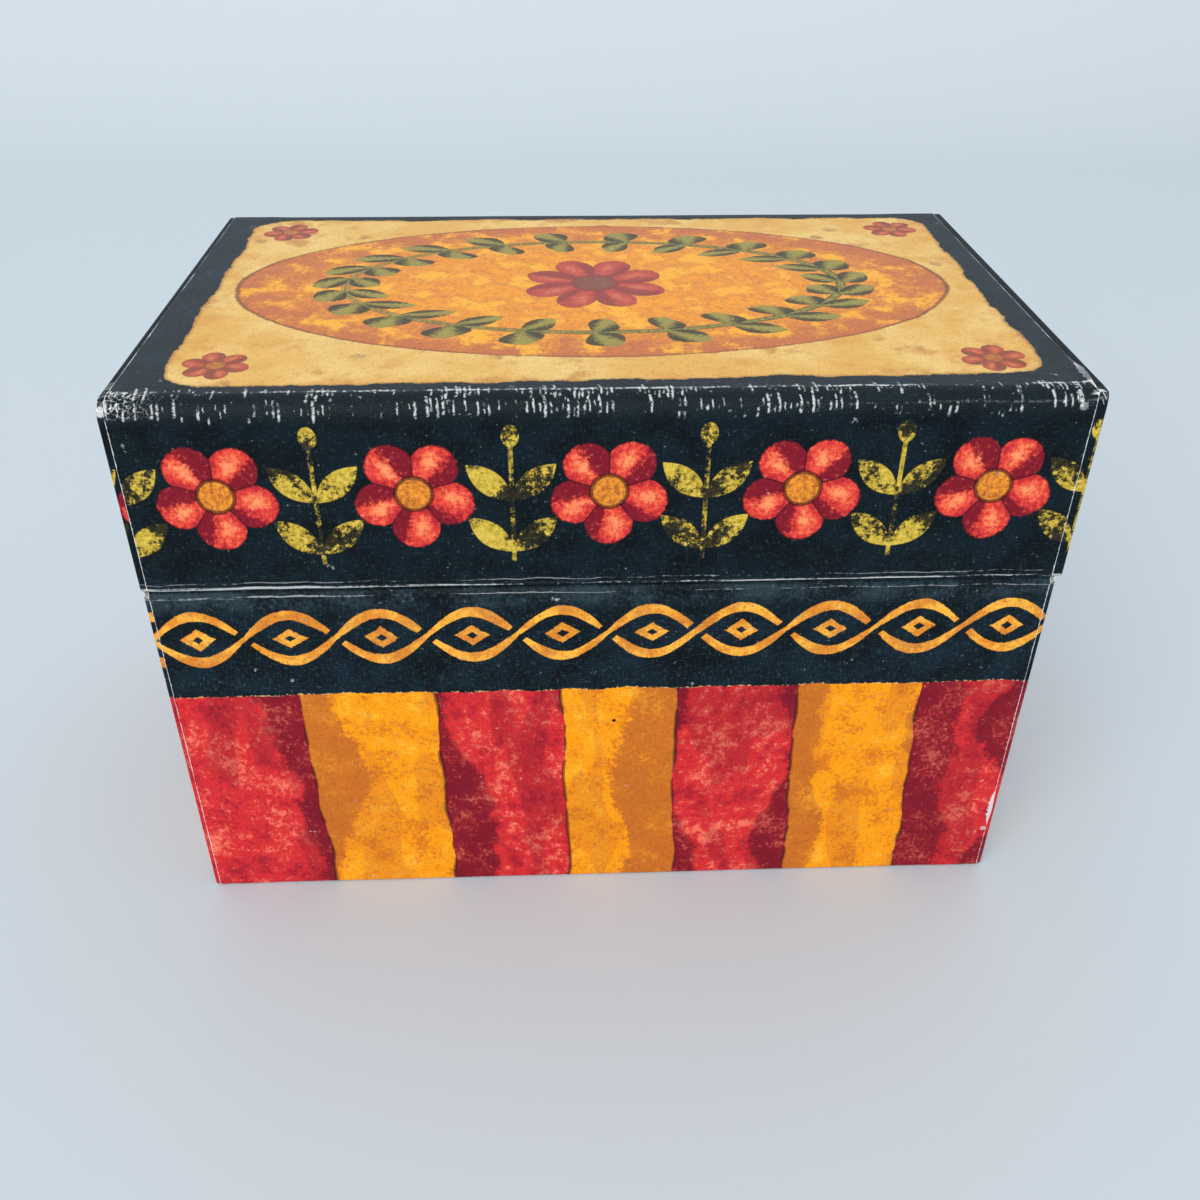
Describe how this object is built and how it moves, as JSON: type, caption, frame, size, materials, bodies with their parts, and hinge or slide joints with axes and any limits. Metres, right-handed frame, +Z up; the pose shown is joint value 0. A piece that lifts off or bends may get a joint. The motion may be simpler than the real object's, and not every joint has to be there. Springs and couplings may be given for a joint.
{
  "type": "recipe card box",
  "caption": "Rigid greyboard box for recipe cards, covered in printed linen-embossed paper, with a neck inside and a lid that swings back on a paper hinge.",
  "frame": {"origin": "centre of the closed box's outline, on the surface that it stands on", "axes": "+Z up; +X along the box, to the right as seen from the hinge side; +Y from the hinge side to the opening side"},
  "size_m": [0.1714, 0.1052, 0.115],
  "materials": {
    "greyboard": "solid recycled greyboard, raw and fibrous",
    "neck_board": "thinner solid greyboard, lined",
    "stay_tape": "thin brown gummed paper",
    "printed_paper": "printed paper with a linen emboss and a satin varnish, worn white along the folds",
    "bottom_paper": "printed parchment-coloured paper, satin",
    "lining_paper": "plain cream lining paper, matt"
  },
  "bodies": {
    "base": {"base_back_board": "greyboard", "base_back_lining": "lining_paper", "base_back_sheet": "printed_paper", "base_bottom_sheet": "bottom_paper", "base_corner_stays": "stay_tape", "base_floor_board": "greyboard", "base_floor_lining": "lining_paper", "base_front_board": "greyboard", "base_front_sheet": "printed_paper", "base_left_board": "greyboard", "base_left_wrap": "printed_paper", "base_right_board": "greyboard", "base_right_wrap": "printed_paper", "hinge_crease": "printed_paper", "hinge_strip": "lining_paper", "neck_front_board": "neck_board", "neck_left_board": "neck_board", "neck_lining": "lining_paper", "neck_right_board": "neck_board"},
    "lid": {"lid_back_board": "greyboard", "lid_corner_stays": "stay_tape", "lid_cover_sheet": "printed_paper", "lid_front_board": "greyboard", "lid_left_board": "greyboard", "lid_left_wrap": "printed_paper", "lid_right_board": "greyboard", "lid_right_wrap": "printed_paper", "lid_top_board": "greyboard", "lid_top_lining": "lining_paper", "lid_wall_lining": "lining_paper"}
  },
  "joints": [
    {"name": "lid_hinge", "type": "hinge", "parent": "base", "child": "lid", "pos_m": [0, -0.05275, 0.0769], "axis": [1, 0, 0], "range_deg": [0, 180], "deforming": ["hinge_crease", "hinge_strip"]}
  ]
}
